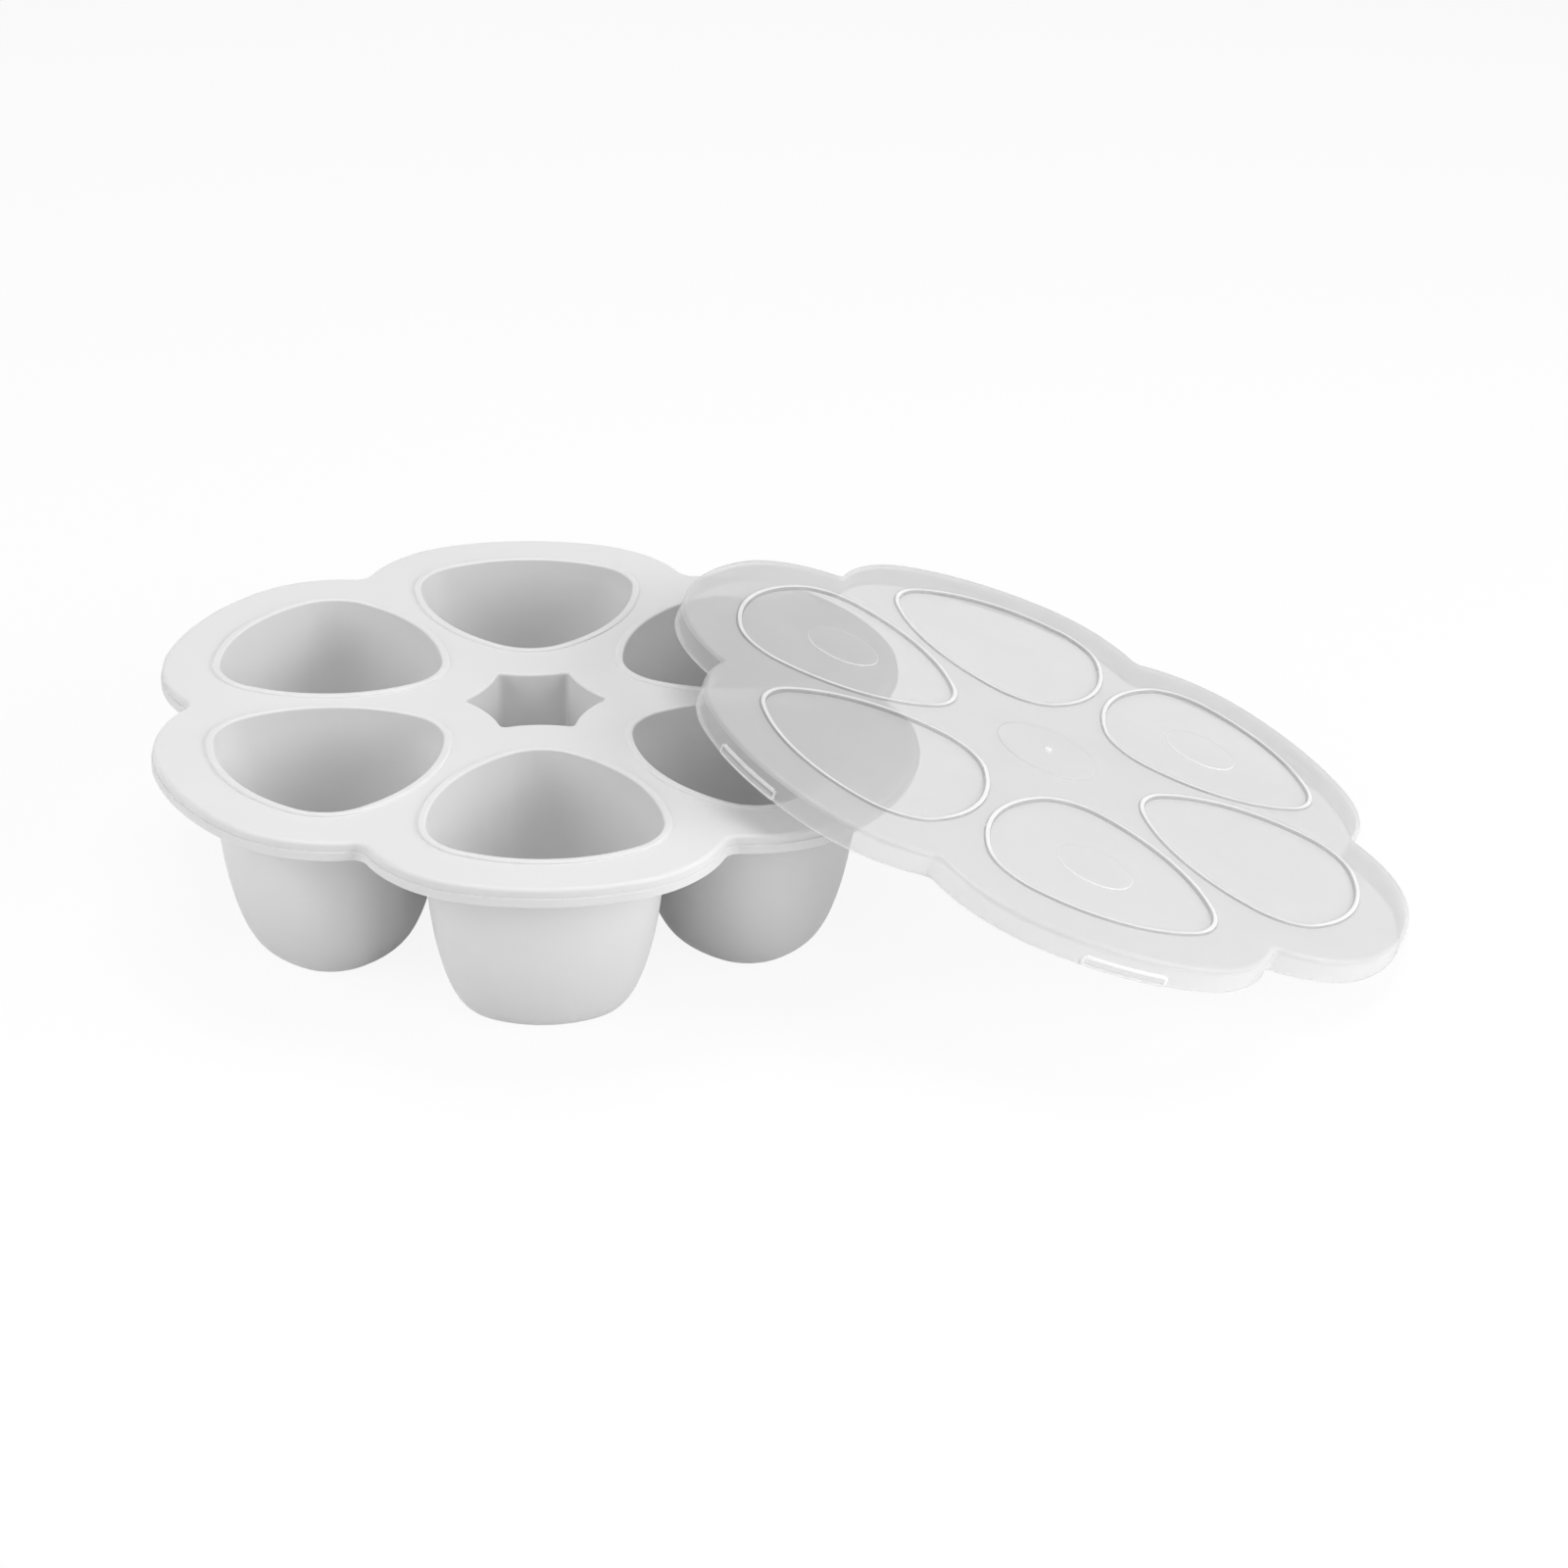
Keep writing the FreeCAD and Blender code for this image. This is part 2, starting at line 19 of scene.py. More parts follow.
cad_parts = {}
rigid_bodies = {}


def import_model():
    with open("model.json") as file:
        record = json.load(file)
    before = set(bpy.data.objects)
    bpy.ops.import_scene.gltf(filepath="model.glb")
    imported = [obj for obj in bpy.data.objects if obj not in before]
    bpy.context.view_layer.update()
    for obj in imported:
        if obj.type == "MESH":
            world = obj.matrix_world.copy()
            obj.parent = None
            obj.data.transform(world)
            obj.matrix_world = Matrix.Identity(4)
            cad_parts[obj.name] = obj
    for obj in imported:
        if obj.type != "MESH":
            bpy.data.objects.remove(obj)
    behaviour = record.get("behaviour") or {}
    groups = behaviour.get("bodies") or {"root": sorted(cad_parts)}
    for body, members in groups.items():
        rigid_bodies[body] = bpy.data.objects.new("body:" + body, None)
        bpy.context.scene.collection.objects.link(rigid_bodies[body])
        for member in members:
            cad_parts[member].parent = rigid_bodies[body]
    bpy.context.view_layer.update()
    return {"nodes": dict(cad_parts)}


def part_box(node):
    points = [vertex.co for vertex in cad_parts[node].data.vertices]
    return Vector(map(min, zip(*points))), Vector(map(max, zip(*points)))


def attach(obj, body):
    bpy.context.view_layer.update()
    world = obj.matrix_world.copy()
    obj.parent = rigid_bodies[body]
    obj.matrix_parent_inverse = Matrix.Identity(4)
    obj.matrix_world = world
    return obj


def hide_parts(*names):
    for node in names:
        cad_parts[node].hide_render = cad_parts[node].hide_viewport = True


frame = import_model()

MM = 0.001
SECTORS = 6
SIXTH = math.tau / SECTORS
UP = math.pi / 2
RIGHT_EDGE = UP - SIXTH / 2
LEFT_EDGE = UP + SIXTH / 2
ORIGIN = Vector((0.0, 0.0))
STRIP = 0.3  # width of the flat strip drawn beside a rounding, which keeps the flat's shading even
FINE_STRIP = 0.25
EDGE_PIECES = 8  # pieces that a flat's straight edge is cut into
WELD = 0.01  # distance within which the sectors' edges are welded
TOUCH = 1e-6  # distance within which two points of a flat count as one
LOG = logging.getLogger("freezer_tray")

Loop = list[Vector]
Profile = list[tuple[float, float]]


def polar(centre: Vector, radius: float, angle: float) -> Vector:
    """Point at a distance and an angle from a centre."""
    return centre + Vector((radius * math.cos(angle), radius * math.sin(angle)))


@dataclass(frozen=True)
class Arc:
    """An arc of an outline, run from one angle to another, with the number of steps it is drawn in."""

    centre: Vector
    radius: float
    start: float
    end: float
    steps: int

    def points(self) -> list[Vector]:
        """Points along the arc, without its last one."""
        turn = (self.end - self.start) / self.steps
        return [polar(self.centre, self.radius, self.start + turn * step) for step in range(self.steps)]

    def mirrored(self) -> "Arc":
        """The arc's mirror image across the Y axis, run the other way."""
        centre = Vector((-self.centre.x, self.centre.y))
        return Arc(centre, self.radius, math.pi - self.end, math.pi - self.start, self.steps)


def trace(arcs: Sequence[Arc], closed: bool, height: float) -> Loop:
    """Points along a chain of arcs.

    Args:
        arcs: the arcs, each starting where the one before it ends.
        closed: whether the chain ends where it starts.
        height: height of the points.

    Returns:
        The points in order, with the chain's last point only if it is open.
    """
    points = [point for arc in arcs for point in arc.points()]
    if not closed:
        points.append(polar(arcs[-1].centre, arcs[-1].radius, arcs[-1].end))
    return [Vector((point.x, point.y, height)) for point in points]


def quarter(centre: tuple[float, float], radius: float, start: float, end: float,
            steps: int = 6) -> Profile:
    """Points of a rounding in a profile.

    Args:
        centre: offset and height of the rounding's centre.
        radius: radius of the rounding.
        start: first angle in degrees, 0 being outwards and 90 upwards.
        end: last angle in degrees.
        steps: number of steps between them.

    Returns:
        Pairs of offset and height.
    """
    angles = [math.radians(start + (end - start) * step / steps) for step in range(steps + 1)]
    return [(centre[0] + radius * math.cos(a), centre[1] + radius * math.sin(a)) for a in angles]


def supported(profile: Profile, strip: float = FINE_STRIP) -> Profile:
    """A profile with extra points near the ends of its long straight runs, which keep the shading crisp.

    Args:
        profile: pairs of offset and height.
        strip: distance of the extra points from the ends.

    Returns:
        The profile with the extra points.
    """
    result = [profile[0]]
    for start, end in zip(profile, profile[1:]):
        run = math.dist(start, end)
        if run > 3 * strip:
            for share in (strip / run, 1 - strip / run):
                result.append(tuple(here + (there - here) * share for here, there in zip(start, end)))
        result.append(end)
    return result


@dataclass(frozen=True)
class RaisedStep:
    """The edge of a raised area: a flat strip outside it, a fillet at its foot and a rounded brow."""

    foot: float
    brow: float
    strip: float
    foot_steps: int = 2
    brow_steps: int = 3

    def profile(self, edge: float, low: float, high: float) -> Profile:
        """The step's profile, upwards and inwards.

        Args:
            edge: offset of the step's upright face.
            low: height of the area outside it.
            high: height of the raised area.

        Returns:
            Pairs of offset and height.
        """
        return [(edge + self.strip, low),
                *quarter((edge + self.foot, low + self.foot), self.foot, 270, 180, self.foot_steps),
                *quarter((edge - self.brow, high - self.brow), self.brow, 0, 90, self.brow_steps)]


@dataclass(frozen=True)
class CellOutline:
    """The outline of a cell: three rounded corners joined by three bowed sides.

    The corners' centres lie at a reach from the cell's middle. Downwards the outline nears a circle of
    the mean radius.
    """

    ring_radius: float = 70.1
    reach: float = 18.2
    corner: float = 17.4
    side: float = 51.3
    mean: float = 32.5
    corner_steps: int = 14
    side_steps: int = 18

    def middle(self, height: float) -> Vector:
        """Middle of the cell at a height."""
        return Vector((0.0, self.ring_radius, height))

    def loop(self, height: float, grow: float = 0.0, scale: float = 1.0, rounding: float = 0.0) -> Loop:
        """One closed loop of the outline.

        Args:
            height: height of the loop.
            grow: how far the outline is moved outwards.
            scale: scale of the outline about the cell's middle, before it is moved.
            rounding: how far the outline has gone towards a circle, from 0 to 1.

        Returns:
            The loop's points, counter-clockwise.
        """
        middle = Vector((0.0, self.ring_radius))
        corner = (self.corner * (1 - rounding) + self.mean * rounding) * scale + grow
        side = (self.side * (1 - rounding) + self.mean * rounding) * scale + grow
        reach = self.reach * scale * (1 - rounding)
        half = math.pi / 3
        along, across = reach * math.cos(half), reach * math.sin(half)
        drop = math.sqrt((side - corner) ** 2 - across ** 2)
        swing = math.atan2(across, drop)
        arcs = []
        for index in range(3):
            angle = math.pi / 6 + 2 * half * index
            arcs.append(Arc(polar(middle, reach, angle), corner,
                            angle - half + swing, angle + half - swing, self.corner_steps))
            facing = angle + half
            arcs.append(Arc(polar(middle, along - drop, facing), side,
                            facing - swing, facing + swing, self.side_steps))
        return trace(arcs, True, height)


@dataclass(frozen=True)
class LobeOutline:
    """The edge of one lobe of the flower: a shallow front, two shoulders and half of each notch.

    The front is as wide as the brow. It is cut at half widths from its middle outwards, each with its
    number of steps.
    """

    tip: float = 117.0
    front: float = 82.0
    shoulder: float = 41.2
    brow: float = 46.6
    notch: float = 5.0
    front_cuts: tuple[tuple[float, int], ...] = ((23.3, 16),)
    shoulder_steps: int = 30
    notch_steps: int = 8

    @property
    def front_centre(self) -> Vector:
        """Centre of the lobe's front."""
        return Vector((0.0, self.tip - self.front))

    def loop(self, height: float, grow: float = 0.0) -> Loop:
        """The lobe's edge from the right notch to the left one.

        Args:
            height: height of the loop.
            grow: how far the edge is moved outwards.

        Returns:
            The loop's points, counter-clockwise.
        """
        front, shoulder, notch = self.front + grow, self.shoulder + grow, self.notch - grow
        turn = math.asin(self.brow / 2 / self.front)
        centre = polar(self.front_centre, front - shoulder, UP - turn)
        ray = polar(ORIGIN, 1.0, RIGHT_EDGE)
        along = centre.dot(ray)
        reach = along + math.sqrt((shoulder + notch) ** 2 - (centre.length_squared - along ** 2))
        to_notch = ray * reach - centre
        dip = math.atan2(to_notch.y, to_notch.x)
        half_front, inner = [], 0.0
        for half_width, steps in self.front_cuts:
            outer = math.asin(half_width / self.front)
            half_front.insert(0, Arc(self.front_centre, front, UP - outer, UP - inner, steps))
            inner = outer
        right = [Arc(ray * reach, notch, math.pi + RIGHT_EDGE, math.pi + dip, self.notch_steps),
                 Arc(centre, shoulder, dip, UP - turn, self.shoulder_steps), *half_front]
        left = [arc.mirrored() for arc in reversed(right)]
        return trace(right + left, False, height)


@dataclass(frozen=True)
class StarOutline:
    """A sixth of the star pocket's outline: a hollow side between two halves of its points."""

    reach: float = 18.9
    point: float = 1.6
    side: float = 33.0
    point_steps: int = 6
    side_steps: int = 14

    def loop(self, height: float, grow: float = 0.0) -> Loop:
        """The outline from the right point of the star to the left one.

        Args:
            height: height of the loop.
            grow: how far the outline is moved outwards.

        Returns:
            The loop's points, counter-clockwise.
        """
        point, side = self.point + grow, self.side - grow
        along, across = self.reach * math.cos(SIXTH / 2), self.reach * math.sin(SIXTH / 2)
        drop = math.sqrt((side + point) ** 2 - across ** 2)
        swing = math.atan2(across, drop)
        tip = Arc(polar(ORIGIN, self.reach, RIGHT_EDGE), point, RIGHT_EDGE, UP + swing, self.point_steps)
        hollow = Arc(polar(ORIGIN, along + drop, UP), side,
                     3 * UP + swing, 3 * UP - swing, self.side_steps)
        return trace([tip, hollow, tip.mirrored()], False, height)


@dataclass(frozen=True)
class RoundOutline:
    """An arc of a circle, or a whole one: by default a sixth of a turn about the moulding's axis."""

    middle: tuple[float, float] = (0.0, 0.0)
    start: float = RIGHT_EDGE
    end: float = LEFT_EDGE
    steps: int = 24
    closed: bool = False

    def loop(self, height: float, radius: float) -> Loop:
        """The circle's points at a height, counter-clockwise."""
        arc = Arc(Vector(self.middle), radius, self.start, self.end, self.steps)
        return trace([arc], self.closed, height)


Outline = CellOutline | LobeOutline | StarOutline | RoundOutline


def sweep(outline: Outline, profile: Profile) -> list[Loop]:
    """Loops of an outline, one for each pair of offset and height in a profile."""
    return [outline.loop(height, offset) for offset, height in profile]


class Sector:
    """Points and faces of one sixth of a moulding, gathered loop by loop."""

    def __init__(self, name: str) -> None:
        """Start an empty sector."""
        self.name = name
        self.points: Loop = []
        self.faces: list[tuple[int, ...]] = []
        self.zones: list[int] = []
        self.zone = 0

    def add(self, loop: Loop) -> list[int]:
        """Add a loop's points and return their numbers."""
        self.points.extend(loop)
        return list(range(len(self.points) - len(loop), len(self.points)))

    def face(self, *numbers: int) -> None:
        """Add a face in the zone that is being built."""
        self.faces.append(numbers)
        self.zones.append(self.zone)

    def bridge(self, lower: list[int], upper: list[int], closed: bool) -> None:
        """Join two loops of the same length with four-sided faces.

        Args:
            lower: numbers of the first loop's points.
            upper: numbers of the second loop's points.
            closed: whether the loops run all the way round, back to their first points.
        """
        for corners in zip(lower, lower[1:] + lower[:closed], upper[1:] + upper[:closed], upper):
            self.face(*corners)

    def skin(self, loops: Sequence[Loop], closed: bool, zones: Sequence[int] | None = None,
             middle: Vector | None = None) -> tuple[list[int], list[int]]:
        """Join a row of loops.

        Args:
            loops: loops with the same number of points.
            closed: whether each loop runs all the way round.
            zones: the zone of each band between two loops, or None to keep the one that is being built.
            middle: the point that the last loop is closed to, or None to leave it open.

        Returns:
            The numbers of the first and of the last loop's points.
        """
        rows = [self.add(loop) for loop in loops]
        for number, (lower, upper) in enumerate(zip(rows, rows[1:])):
            if zones:
                self.zone = zones[number]
            self.bridge(lower, upper, closed)
        if middle:
            self.cap(rows[-1], middle, closed)
        return rows[0], rows[-1]

    def cap(self, rim: list[int], middle: Vector, closed: bool,
            shares: Sequence[float] = (0.97, 0.7, 0.4)) -> None:
        """Close a flat end with rings that shrink to a middle point.

        Args:
            rim: numbers of the points round the flat end.
            middle: the point in its middle.
            closed: whether the rim runs all the way round.
            shares: size of each ring as a share of the rim.
        """
        outer = rim
        for share in shares:
            ring = self.add([middle.lerp(self.points[number], share) for number in rim])
            self.bridge(outer, ring, closed)
            outer = ring
        centre = self.add([middle])[0]
        for here, after in zip(outer, outer[1:] + outer[:closed]):
            self.face(here, after, centre)

    def fill(self, border: Sequence[int], hole: Sequence[int] = ()) -> None:
        """Fill a flat area with triangles.

        Args:
            border: numbers of the points round the area, in order.
            hole: numbers of the points round a hole in it.
        """
        numbers = [*border, *hole]
        places = [self.points[number].to_2d() for number in numbers]
        split = len(border)
        areas = [list(area) for area in (range(split), range(split, len(numbers))) if area]
        found, _, triangles, origins, _, owners = delaunay_2d_cdt(places, [], areas, 1, TOUCH)
        if len(found) != len(places):
            raise RuntimeError(f"{self.name} has crossing borders")
        for triangle, owner in zip(triangles, owners):
            if 1 not in owner:
                self.face(*(numbers[origins[corner][0]] for corner in triangle))

    def flat(self, outer: list[int], inner: list[int] | None, hole: Sequence[int]) -> None:
        """Fill the flat part of the sector between two open loops, or an open loop and the axis.

        Args:
            outer: numbers of the outer loop's points, from right to left.
            inner: numbers of the inner loop's points, or None where the flat runs to the axis.
            hole: numbers of the points round a hole in it.
        """
        inner = inner or self.add([Vector((0.0, 0.0, self.points[outer[0]].z))])
        shares = [piece / EDGE_PIECES for piece in range(1, EDGE_PIECES)]
        left, right = (self.add([self.points[start].lerp(self.points[end], share) for share in shares])
                       for start, end in ((outer[-1], inner[-1]), (inner[0], outer[0])))
        self.fill(outer + left + inner[::-1] + right, hole)

    def build(self) -> bpy.types.Object:
        """Make the sector's mesh object, in metres.

        Returns:
            The object, not yet in a collection.
        """
        mesh = bpy.data.meshes.new(self.name)
        mesh.from_pydata([point * MM for point in self.points], [], self.faces)
        mesh.attributes.new("finish", "INT", "FACE").data.foreach_set("value", self.zones)
        return bpy.data.objects.new(self.name, mesh)


class Wheel:
    """Geometry Nodes that set kinds of sector round the Z axis and weld them into one shell."""

    def __init__(self, name: str, finishes: Sequence[bpy.types.Material]) -> None:
        """Build the tree.

        Args:
            name: name of the tree.
            finishes: the materials; a face's number in its "finish" attribute picks one.
        """
        self.name = name
        tree = self.tree = bpy.data.node_groups.new(name, "GeometryNodeTree")
        tree.is_modifier = True
        face = tree.interface
        self.inputs = {label: face.new_socket(label, in_out="INPUT", socket_type=f"NodeSocket{kind}")
                       for label, kind in (("Lobes", "Geometry"), ("Sectors", "Collection"),
                                           ("Turn", "Float"), ("Weld", "Float"))}
        face.new_socket("Shell", in_out="OUTPUT", socket_type="NodeSocketGeometry")
        given = add_node(tree, "NodeGroupInput")
        sectors = add_node(tree, "GeometryNodeCollectionInfo", {"transform_space": "ORIGINAL"},
                           {"Collection": given.outputs["Sectors"], "Separate Children": True,
                            "Reset Children": True})
        index = add_node(tree, "GeometryNodeInputIndex")
        turn = add_node(tree, "ShaderNodeMath", {"operation": "MULTIPLY"},
                        {0: index.outputs[0], 1: given.outputs["Turn"]})
        rotation = add_node(tree, "ShaderNodeCombineXYZ", {}, {"Z": turn.outputs[0]})
        kind, mark = (add_node(tree, "GeometryNodeInputNamedAttribute", {"data_type": "INT"},
                               {"Name": label}) for label in ("kind", "finish"))
        placed = add_node(tree, "GeometryNodeInstanceOnPoints", {},
                          {"Points": given.outputs["Lobes"], "Instance": sectors.outputs[0],
                           "Pick Instance": True, "Instance Index": kind.outputs["Attribute"],
                           "Rotation": rotation.outputs[0]})
        real = add_node(tree, "GeometryNodeRealizeInstances", {}, {"Geometry": placed.outputs[0]})
        shell = add_node(tree, "GeometryNodeMergeByDistance", {},
                         {"Geometry": real.outputs[0], "Distance": given.outputs["Weld"]})
        for number, finish in enumerate(finishes):
            chosen = add_node(tree, "FunctionNodeCompare", {"data_type": "INT", "operation": "EQUAL"},
                              {"A": mark.outputs["Attribute"], "B": number})
            shell = add_node(tree, "GeometryNodeSetMaterial", {},
                             {"Geometry": shell.outputs[0], "Selection": chosen.outputs[0],
                              "Material": finish})
        add_node(tree, "NodeGroupOutput", {}, {"Shell": shell.outputs[0]})

    def turn(self, kinds: Sequence[Sector], lobes: Sequence[int]) -> bpy.types.Mesh:
        """Make the whole shell.

        Args:
            kinds: the kinds of sector.
            lobes: for each lobe, counter-clockwise from +Y, the number of its kind.

        Returns:
            A plain closed mesh with its faces pointing outwards.
        """
        store = bpy.data.collections.new(f"{self.name}_sectors")
        bpy.context.scene.collection.children.link(store)
        for kind in kinds:
            store.objects.link(kind.build())
        spots = bpy.data.meshes.new(f"{self.name}_lobes")
        spots.from_pydata([(0.0, 0.0, 0.0)] * len(lobes), [], [])
        spots.attributes.new("kind", "INT", "POINT").data.foreach_set("value", list(lobes))
        hub = bpy.data.objects.new(f"{self.name}_hub", spots)
        bpy.context.scene.collection.objects.link(hub)
        modifier = hub.modifiers.new(self.name, "NODES")
        modifier.node_group = self.tree
        for label, value in (("Sectors", store), ("Turn", SIXTH), ("Weld", WELD * MM)):
            modifier[self.inputs[label].identifier] = value
        bpy.context.view_layer.update()
        graph = bpy.context.evaluated_depsgraph_get()
        mesh = bpy.data.meshes.new_from_object(hub.evaluated_get(graph))
        hub.modifiers.clear()
        for item in (hub, *store.objects):
            bpy.data.objects.remove(item)
        bpy.data.collections.remove(store)
        close_shell(mesh, self.name)
        return mesh


def close_shell(mesh: bpy.types.Mesh, name: str) -> None:
    """Point a shell's faces outwards and smooth them, and stop if the shell is open.

    Args:
        mesh: the shell's mesh.
        name: name to give if it is open.
    """
    shell = bmesh.new()
    shell.from_mesh(mesh)
    open_edges = sum(not edge.is_manifold for edge in shell.edges)
    bmesh.ops.recalc_face_normals(shell, faces=shell.faces)
    for surface in shell.faces:
        surface.smooth = True
    shell.to_mesh(mesh)
    shell.free()
    if open_edges:
        raise RuntimeError(f"{name} has {open_edges} open edges")


def linear(colour: str) -> tuple[float, float, float, float]:
    """Linear colour of an sRGB hex value."""
    parts = [int(colour[start:start + 2], 16) / 255 for start in (1, 3, 5)]
    parts = [part / 12.92 if part <= 0.04045 else ((part + 0.055) / 1.055) ** 2.4 for part in parts]
    return (*parts, 1.0)


def add_node(tree: bpy.types.NodeTree, kind: str, settings: dict | None = None,
             inputs: dict | None = None) -> bpy.types.Node:
    """Add a node.

    Args:
        tree: the tree that gets it.
        kind: the node's type.
        settings: its own settings by name.
        inputs: its inputs by name or number, each a value or an output socket to link.

    Returns:
        The node.
    """
    node = tree.nodes.new(kind)
    for key, value in (settings or {}).items():
        setattr(node, key, value)
    for key, value in (inputs or {}).items():
        socket = node.inputs[key]
        if isinstance(value, bpy.types.NodeSocket):
            tree.links.new(value, socket)
        else:
            socket.default_value = value
    return node


def new_tree(owner: bpy.types.Material | bpy.types.World) -> bpy.types.NodeTree:
    """Give a material or a world an empty node tree.

    Args:
        owner: the material or the world.

    Returns:
        The tree.
    """
    owner.use_nodes = True
    owner.node_tree.nodes.clear()
    return owner.node_tree


@dataclass(frozen=True)
class Pattern:
    """A soft noise pattern with features of a real size."""

    size_mm: float
    detail: float
    roughness: float = 0.5
    distortion: float = 0.0


@dataclass(frozen=True, kw_only=True)
class MouldedFinish:
    """What both mouldings' finishes share: two close tints, uneven gloss, soft relief and inner light."""

    colour: str
    second: str
    roughness: tuple[float, float]
    ior: float
    glow: float
    glow_mm: float
    tints: Pattern
    touch: Pattern
    relief: Pattern
    relief_mm: float
    alpha: float = 1.0

    def material(self, name: str) -> bpy.types.Material:
        """Build the material.

        Args:
            name: its name.

        Returns:
            The material.
        """
        material = bpy.data.materials.new(name)
        tree = new_tree(material)
        place = add_node(tree, "ShaderNodeTexCoord").outputs["Object"]
        tints, touch, relief = (
            add_node(tree, "ShaderNodeTexNoise", {},
                     {"Vector": place, "Scale": 1 / (pattern.size_mm * MM), "Detail": pattern.detail,
                      "Roughness": pattern.roughness, "Distortion": pattern.distortion})
            for pattern in (self.tints, self.touch, self.relief))
        tint = add_node(tree, "ShaderNodeMix", {"data_type": "RGBA"},
                        {"Factor": tints.outputs[0], "A": linear(self.colour), "B": linear(self.second)})
        gloss = add_node(tree, "ShaderNodeMapRange", {},
                         {"Value": touch.outputs[0], "From Min": 0.3, "From Max": 0.7,
                          "To Min": self.roughness[0], "To Max": self.roughness[1]})
        bump = add_node(tree, "ShaderNodeBump", {},
                        {"Strength": 0.5, "Distance": self.relief_mm * MM, "Height": relief.outputs[0]})
        surface = add_node(tree, "ShaderNodeBsdfPrincipled", {},
                           {"Base Color": tint.outputs[2], "Roughness": gloss.outputs[0], "IOR": self.ior,
                            "Subsurface Weight": self.glow, "Subsurface Radius": (1.0, 1.0, 1.0),
                            "Subsurface Scale": self.glow_mm * MM, "Alpha": self.alpha,
                            "Normal": bump.outputs[0]})
        add_node(tree, "ShaderNodeOutputMaterial", {}, {"Surface": surface.outputs[0]})
        return material


@dataclass(frozen=True, kw_only=True)
class SatinSilicone(MouldedFinish):
    """Compression-moulded silicone rubber, pale grey.

    The eye sees a soft even satin with no sharp reflections, a faint powdery grain from the blasted
    mould, edges that glow a little because light enters the rubber, and slow changes of sheen where
    the rubber was touched or packed.
    """

    colour: str = "#DEDEDE"
    second: str = "#DADADA"
    roughness: tuple[float, float] = (0.46, 0.58)
    ior: float = 1.41
    glow: float = 0.12
    glow_mm: float = 1.6
    tints: Pattern = Pattern(38.0, detail=2.0)
    touch: Pattern = Pattern(9.0, detail=3.0)
    relief: Pattern = Pattern(0.9, detail=4.0, roughness=0.6)  # really 0.1 mm; coarser, so that it shows
    relief_mm: float = 0.02


class LidZone(IntEnum):
    """The parts of the lid that look different. The edge zone's whiter colour is a painted highlight and
    the wall zone's dark colour is painted shade.
    """

    PLATE = 0
    PANEL = 1
    SKIRT = 2
    EDGE = 3
    WALL = 4


@dataclass(frozen=True, kw_only=True)
class TranslucentPolypropylene(MouldedFinish):
    """Injection-moulded natural polypropylene, milky and see-through.

    The eye sees a thin milky sheet with soft highlights: clearest in the skirt and the thin panels,
    milkier in the plate, whitest along crests and edges, where it looks through more plastic and where
    a highlight is painted into the colour, and darker in thin lines along steep walls, where shade is
    painted into the colour in place of the view that the walls bend sideways.
    """

    zone: LidZone
    colour: str = "#D0D0D0"
    second: str = "#CBCBCB"
    roughness: tuple[float, float] = (0.3, 0.4)
    ior: float = 1.49
    glow: float = 0.35
    glow_mm: float = 2.0
    tints: Pattern = Pattern(30.0, detail=3.0, distortion=0.6)
    touch: Pattern = Pattern(30.0, detail=3.0, distortion=0.6)
    relief: Pattern = Pattern(14.0, detail=1.0)
    relief_mm: float = 0.012


def backdrop_rays(tree: bpy.types.NodeTree) -> bpy.types.NodeSocket:
    """Tell the rays that look at the backdrop from those that light the object.

    Args:
        tree: the tree that gets the nodes.

    Returns:
        A socket that is 1 for a ray of the camera, a reflection or a see-through piece, and 0 otherwise.
    """
    rays = add_node(tree, "ShaderNodeLightPath")
    seen = rays.outputs["Is Camera Ray"]
    for kind in ("Is Transmission Ray", "Is Glossy Ray"):
        seen = add_node(tree, "ShaderNodeMath", {"operation": "MAXIMUM"},
                        {0: seen, 1: rays.outputs[kind]}).outputs[0]
    return seen


@dataclass(frozen=True)
class PaleFloor:
    """Matt white paper sweep, lit almost to white, that keeps a soft shadow.

    Its fibres are drawn as faint clouds, so many across the whole sweep.
    """

    colour: str = "#F2F2F2"
    glow: float = 0.9
    clouds: float = 400.0
    cloud_shade: float = 0.995

    def material(self) -> bpy.types.Material:
        """Build the material.

        Returns:
            The material.
        """
        material = bpy.data.materials.new("pale_paper_sweep")
        tree = new_tree(material)
        share = add_node(tree, "ShaderNodeMath", {"operation": "MULTIPLY"},
                         {0: backdrop_rays(tree), 1: self.glow})
        fibres = add_node(tree, "ShaderNodeTexNoise", {}, {"Scale": self.clouds, "Detail": 2.0})
        tint = add_node(tree, "ShaderNodeMapRange", {},
                        {"Value": fibres.outputs[0], "To Min": self.cloud_shade, "To Max": 1.0})
        paper = add_node(tree, "ShaderNodeVectorMath", {"operation": "SCALE"},
                         {0: linear(self.colour)[:3], "Scale": tint.outputs[0]})
        matt = add_node(tree, "ShaderNodeBsdfDiffuse", {}, {"Color": paper.outputs[0]})
        white = add_node(tree, "ShaderNodeEmission", {}, {"Color": linear("#FFFFFF"), "Strength": 1.0})
        mixed = add_node(tree, "ShaderNodeMixShader", {},
                         {0: share.outputs[0], 1: matt.outputs[0], 2: white.outputs[0]})
        add_node(tree, "ShaderNodeOutputMaterial", {}, {"Surface": mixed.outputs[0]})
        return material


